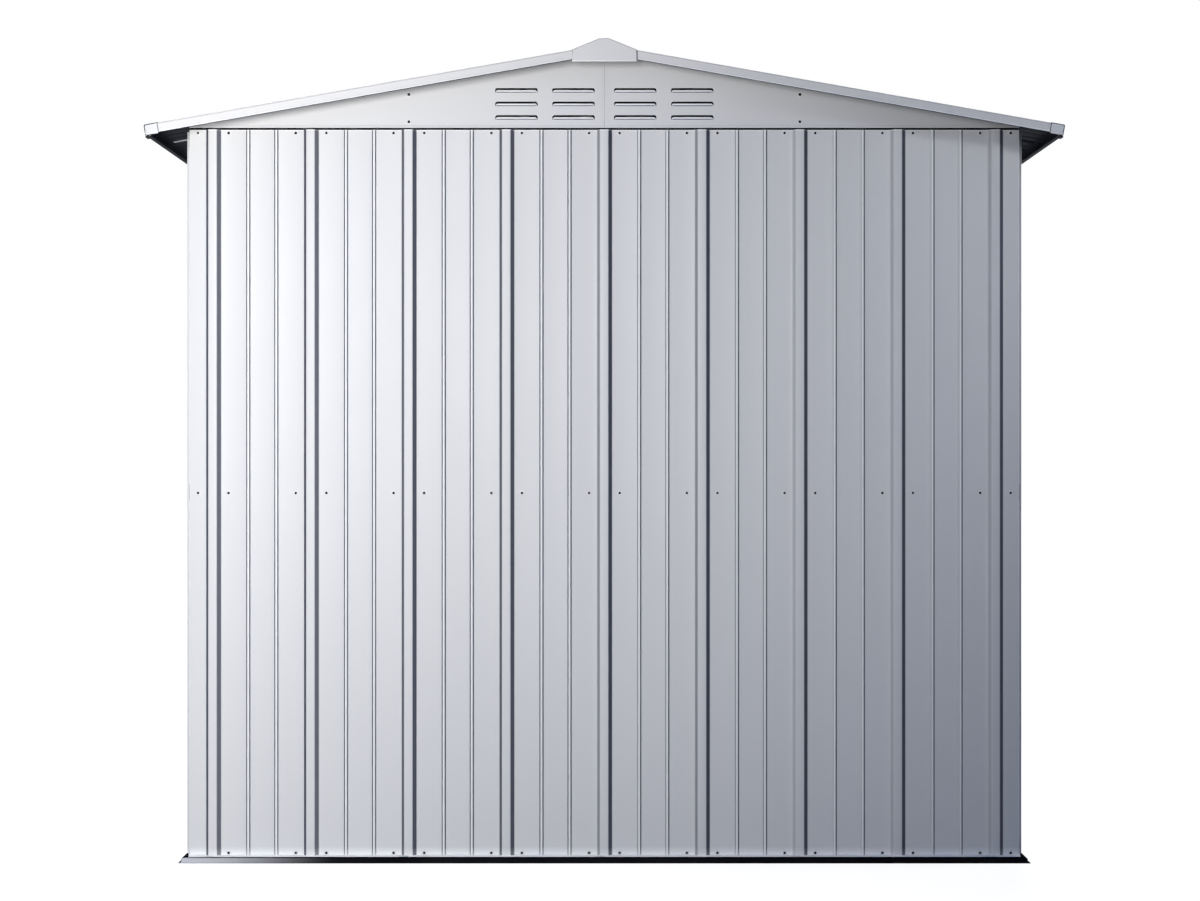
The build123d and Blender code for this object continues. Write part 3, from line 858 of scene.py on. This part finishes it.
def dripLip(end):
    # a dark lip under the trim's end, which sheds the rain
    deselect()
    bpy.ops.mesh.primitive_cube_add(size=1)
    lip = bpy.context.object
    lip.scale = (trim["capLength"], trim["dripDepth"], trim["dripHeight"])
    lip.location = (
        end * (roofEnd + trim["capWall"] - trim["capLength"] / 2),
        trim["dripDepth"] / 2 - trim["capWall"],
        -trim["eaveFace"] - trim["dripHeight"] / 2)
    bpy.ops.object.transform_apply(location=True, rotation=True, scale=True)
    edit(lip)
    roundFolds(lip, trim["dripBend"], 2)
    done()
    lip.data.materials.append(edgeShadeAndDripPlastic)
    return lip


def cornerCap(end):
    # three walls over a roof corner, open below and inwards
    deselect()
    bpy.ops.mesh.primitive_cube_add(size=1)
    cap = bpy.context.object
    top = trim["bargeTop"] + trim["capWall"]
    length = trim["capLength"]
    cap.scale = (length, length, trim["capFace"])
    cap.location = (
        end * (roofEnd + trim["capWall"] - length / 2),
        length / 2 - trim["capWall"],
        top - trim["capFace"] / 2)
    bpy.ops.object.transform_apply(location=True, rotation=True, scale=True)
    edit(cap)
    pick(cap, "FACE", lambda face: (
        face.normal.z < -facing or face.normal.y > facing or face.normal.x * end < -facing))
    bpy.ops.mesh.delete(type="FACE")
    roundFolds(cap, trim["capBend"], 4)
    rim = length - trim["capWall"] - trim["capRim"]
    cut((0, rim, 0), (0, 1, 0))
    done()
    thicken(cap, trim["capWall"], False)
    # the rounded edges and the inner rim get painted shade
    leanFrom, leanTo = trim["capEdgeLean"]
    coat(cap, capPlastic, edgeShadeAndDripPlastic,
         lambda face: leanFrom < abs(face.normal.x) < leanTo or face.calc_center_median().y > rim)
    capped = join("cap", [cap, dripLip(end)])
    place(capped, eaveMatrix())
    return capped


caps = [cornerCap(end) for end in (-1, 1)]
caps += [copyOf(cap, "cap", halfTurn) for cap in caps]
finishPiece(join("roofCornerCaps", caps), capPlastic, ["roof_corner_caps"])

bargeEdge = trim["bargeTop"] / math.cos(pitch) + trim["sheet"]
ridgeEdge = ridgeHeight - ridgeEnd["half"] * math.tan(pitch) + bargeEdge
ridgeTop = ridgeHeight + ridgeEnd["rise"]


def ridgeEndCap(name):
    bottom = ridgeHeight - ridgeEnd["drop"]
    cap = flatSheet(name, -ridgeEnd["half"], ridgeEnd["half"], bottom, ridgeTop)
    edit(cap)
    fall = math.atan2(ridgeTop - ridgeEdge, ridgeEnd["half"] - ridgeEnd["flat"])
    for hand in (-1, 1):
        slope = (hand * math.sin(fall), 0, math.cos(fall))
        cut((hand * ridgeEnd["flat"], 0, ridgeTop), slope, clearOuter=True)
    bpy.ops.mesh.select_all(action="SELECT")
    depth = ridgeEnd["wall"] - ridgeEnd["lip"]
    bpy.ops.mesh.extrude_region_move(TRANSFORM_OT_translate={"value": (0, -depth, 0)})
    pick(cap, "FACE", lambda face: abs(face.normal.y) > squarely and face.calc_center_median().y < -tiny)
    bpy.ops.mesh.inset(thickness=ridgeEnd["rim"], depth=0)
    cut((0, 0, bottom + ridgeEnd["rim"] + ridgeEnd["rimFade"]), (0, 0, 1))
    bpy.ops.mesh.select_all(action="SELECT")
    bpy.ops.mesh.normals_make_consistent(inside=False)
    done()
    # painted highlight on the bottom rim, painted shade along the top edges
    mark(cap, "crest", lambda co: co.z < bottom + ridgeEnd["rim"] + tiny)
    slant = math.tan(fall)
    mark(cap, "fold", lambda co: co.z > ridgeTop - max(0, abs(co.x) - ridgeEnd["flat"]) * slant - tiny,
         ridgeEnd["dustAndShade"])
    applyModifier(cap, "BEVEL", {"width": ridgeEnd["bend"], "segments": 3, "limit_method": "ANGLE"})
    return cap


endCap = ridgeEndCap("ridgeEndCaps")
place(endCap, Matrix.Translation((0, -roofEnd, 0)))
endTwin = copyOf(endCap, "endTwin", halfTurn)
finishPiece(join("ridgeEndCaps", [endCap, endTwin]), trimPaint, ["ridge_end_caps"])
print("roof trims ready")


# screws with plain washers

screw = {
    "sides": 12, "washer": 0.0056, "washerHeight": 0.0009, "dish": 0.0003, "ring": 0.0004,
    "head": 0.0036, "headHeight": 0.0014, "headTaper": 0.85,
    "fromRib": 0.036, "fromEdge": 0.0108,
    "gableAcross": 0.460, "gableHeights": (1.742, 1.806), "gableSize": 1.1,
    "aboveEave": 0.015, "belowPurlin": 0.01, "belowRidge": 0.1,
}


def screwMaster():
    deselect()
    bpy.ops.mesh.primitive_cylinder_add(
        vertices=screw["sides"], radius=screw["washer"], depth=screw["washerHeight"], end_fill_type="NGON",
        rotation=(math.pi / 2, 0, 0), location=(0, -screw["washerHeight"] / 2, 0))
    piece = bpy.context.object
    piece.name = "screwMaster"
    bpy.ops.object.transform_apply(location=True, rotation=True, scale=True)
    piece.data.materials.append(washerPlastic)
    piece.data.materials.append(screwBlack)
    edit(piece)
    pick(piece, "FACE", lambda face: face.normal.y > squarely)
    bpy.ops.mesh.delete(type="FACE")
    pick(piece, "FACE", lambda face: face.normal.y < -squarely)
    bpy.ops.mesh.inset(thickness=screw["washer"] - screw["head"] - screw["ring"], depth=screw["dish"])
    bpy.ops.mesh.inset(thickness=screw["ring"], depth=0)
    piece.active_material_index = 1
    bpy.ops.object.material_slot_assign()
    bpy.ops.mesh.extrude_region_move(TRANSFORM_OT_translate={"value": (0, -screw["headHeight"], 0)})
    bpy.ops.object.material_slot_assign()
    bpy.ops.transform.resize(value=(screw["headTaper"], 1, screw["headTaper"]))
    done()
    return piece


screwPiece = screwMaster()


def screwField(name, matrix, places, size=1.0):
    spots = [matrix @ Matrix.Translation((x, -y, z)) @ Matrix.Scale(size, 4) for x, y, z in places]
    field = join(name, [copyOf(screwPiece, "screw", spot) for spot in spots])
    finishPiece(field, washerPlastic)


def besideRibs(ribs, heights):
    # a screw on each side of every rib, at each height
    across = [rib + side * screw["fromRib"] for rib in ribs for side in (-1, 1)]
    return [(x, ribbed["sheet"], z) for x in across for z in heights]


def ribRow(start, panels):
    return [start + index * ribbed["spacing"] for index in range(panels * ribbed["bays"] + 1)]


rowHeights = (baseTop + screw["fromEdge"], (baseTop + wallTop) / 2, wallTop - screw["fromEdge"])
rearRibs = ribRow(ribStart, ribbed["rearPanels"])
sideRibs = ribRow(sideRibStart, ribbed["sidePanels"])
frontRibs = [ribStart, ribStart + ribbed["spacing"], -ribStart - ribbed["spacing"], -ribStart]
for wall, ribs in (("rear", rearRibs), ("right", sideRibs), ("left", sideRibs), ("front", frontRibs)):
    places = besideRibs(ribs, rowHeights)
    if wall == "rear":
        places = places[1:]                          # none at the lower left
    screwField(f"screws_{wall}", wallMatrix(wall), places)
gableSides = (-screw["gableAcross"], screw["gableAcross"])
gablePlaces = [(x, gable["sheet"], z) for x in gableSides for z in screw["gableHeights"]]
for wall in ("rear", "front"):
    screwField(f"gableScrews_{wall}", wallMatrix(wall), gablePlaces, screw["gableSize"])
roofRows = (
    -roofRun + screw["aboveEave"],
    -halfWidth / math.cos(pitch),
    -screw["gableAcross"] / math.cos(pitch) - screw["belowPurlin"],
    -screw["belowRidge"])
for side in ("right", "left"):
    screwField(f"roofScrews_{side}", roofMatrix(side), besideRibs(sideRibs, roofRows))
bpy.data.objects.remove(screwPiece)
print("screws ready")


# nodes that keep their own shape
keptNodes = {
    "ridge_cap": roofPaint,
    # the rails' near-black stands partly for the shade in the gable seam
    "gable_rails": railPaint, "eave_rails": railPaint, "mid_rails": railPaint, "purlins": railPaint,
    "door_header": wallPaint, "door_hinges": hardwarePaint, "door_handles": hardwarePaint,
}
for name, paint in keptNodes.items():
    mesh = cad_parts[name].data
    mesh.materials.clear()
    mesh.materials.append(paint)


# floor, light and camera

studio = {
    "key": {"stand": (-0.65, -4.25, 1.5), "aim": (-2.05, -0.75, 1.4), "size": (0.6, 1.2),
            "power": 61.5, "beam": 1.96, "colour": (1.0, 0.982, 0.958)},
    "fill": {"stand": (2.9, -3.95, 3.2), "aim": (1.49, -0.75, 1.71), "size": (0.8, 0.8),
             "power": 1.5, "beam": 0.5},
    "left": {"stand": (-3.6, 0.7, 1.9), "aim": (-1.0, 0.3, 1.0), "size": (2.0, 1.6),
             "power": 13, "beam": 1.2},
    "right": {"stand": (3.6, 0.7, 1.9), "aim": (1.0, 0.3, 1.0), "size": (2.0, 1.6),
              "power": 11, "beam": 1.2},
    "back": {"stand": (0.9, 3.6, 1.9), "aim": (0.0, 0.8, 1.0), "size": (2.0, 1.6),
             "power": 14, "beam": 1.3},
    "top": {"stand": (0.0, 0.6, 4.6), "aim": (0.0, 0.2, 1.9), "size": (2.0, 2.0),
            "power": 14, "beam": 1.0},
}
ambientLight = (0.012, 0.052, 0.150)


def softBox(name, stand, aim, size, power, beam, colour=(1, 1, 1)):
    lamp = bpy.data.lights.new(name, "AREA")
    lamp.shape = "RECTANGLE"
    lamp.size, lamp.size_y = size
    lamp.energy = power
    lamp.color = colour
    lamp.spread = beam
    holder = bpy.data.objects.new(name, lamp)
    holder.location = stand
    holder.rotation_euler = (Vector(aim) - Vector(stand)).to_track_quat("-Z", "Y").to_euler()
    bpy.context.scene.collection.objects.link(holder)


for name, settings in studio.items():
    softBox(f"{name}Lamp", **settings)


def seenAsWhite(tree):
    # camera, glossy and transmission rays see the white background
    path = tree.nodes.new("ShaderNodeLightPath")
    seen = path.outputs["Is Camera Ray"]
    for ray in ("Is Glossy Ray", "Is Transmission Ray"):
        either = tree.nodes.new("ShaderNodeMath")
        either.operation = "MAXIMUM"
        tree.links.new(seen, either.inputs[0])
        tree.links.new(path.outputs[ray], either.inputs[1])
        seen = either.outputs["Value"]
    return seen


world = bpy.context.scene.world or bpy.data.worlds.new("studio")
bpy.context.scene.world = world
world.use_nodes = True
tree = world.node_tree
ambient = tree.nodes["Background"]
ambient.inputs["Color"].default_value = (*ambientLight, 1)
white = tree.nodes.new("ShaderNodeBackground")
white.inputs["Color"].default_value = (1, 1, 1, 1)
mix = tree.nodes.new("ShaderNodeMixShader")
tree.links.new(seenAsWhite(tree), mix.inputs["Fac"])
tree.links.new(ambient.outputs["Background"], mix.inputs[1])
tree.links.new(white.outputs["Background"], mix.inputs[2])
tree.links.new(mix.outputs["Shader"], tree.nodes["World Output"].inputs["Surface"])

# the floor is as white as the background, less so near the shed, where its shadow falls
floorLook = {"size": 80, "tone": 0.3, "roughness": 0.9, "nearWhite": 0.86, "near": 1.6, "far": 4.5}
deselect()
bpy.ops.mesh.primitive_plane_add(size=floorLook["size"])
floor = bpy.context.object
floor.name = "floor"
floorPaint, tree, shader, coords = newMaterial("floorPaint")
shader.inputs["Base Color"].default_value = (floorLook["tone"],) * 3 + (1,)
shader.inputs["Roughness"].default_value = floorLook["roughness"]
reach = tree.nodes.new("ShaderNodeVectorMath")
reach.operation = "LENGTH"
tree.links.new(coords, reach.inputs[0])
fade = tree.nodes.new("ShaderNodeMapRange")
fade.inputs["From Min"].default_value = floorLook["near"]
fade.inputs["From Max"].default_value = floorLook["far"]
fade.inputs["To Min"].default_value = floorLook["nearWhite"]
fade.inputs["To Max"].default_value = 1
tree.links.new(reach.outputs["Value"], fade.inputs["Value"])
level = tree.nodes.new("ShaderNodeMath")
level.operation = "MULTIPLY"
tree.links.new(seenAsWhite(tree), level.inputs[0])
tree.links.new(fade.outputs["Result"], level.inputs[1])
shader.inputs["Emission Color"].default_value = (1, 1, 1, 1)
tree.links.new(level.outputs["Value"], shader.inputs["Emission Strength"])
floor.data.materials.append(floorPaint)

view = {
    "height": 0.958, "distance": 6.495, "lens": 82.79, "sensor": 36,
    "shiftX": -4.35 / 1200, "shiftY": 4.5 / 1200,
}
camera = bpy.data.cameras.new("camera")
camera.lens = view["lens"]
camera.sensor_width = view["sensor"]
camera.shift_x = view["shiftX"]
camera.shift_y = view["shiftY"]
holder = bpy.data.objects.new("camera", camera)
holder.location = (0, -halfDepth - ribbed["sheet"] - view["distance"], view["height"])
holder.rotation_euler = (math.pi / 2, 0, 0)
bpy.context.scene.collection.objects.link(holder)
bpy.context.scene.camera = holder
bpy.context.scene.view_settings.view_transform = "Standard"
print("studio ready")
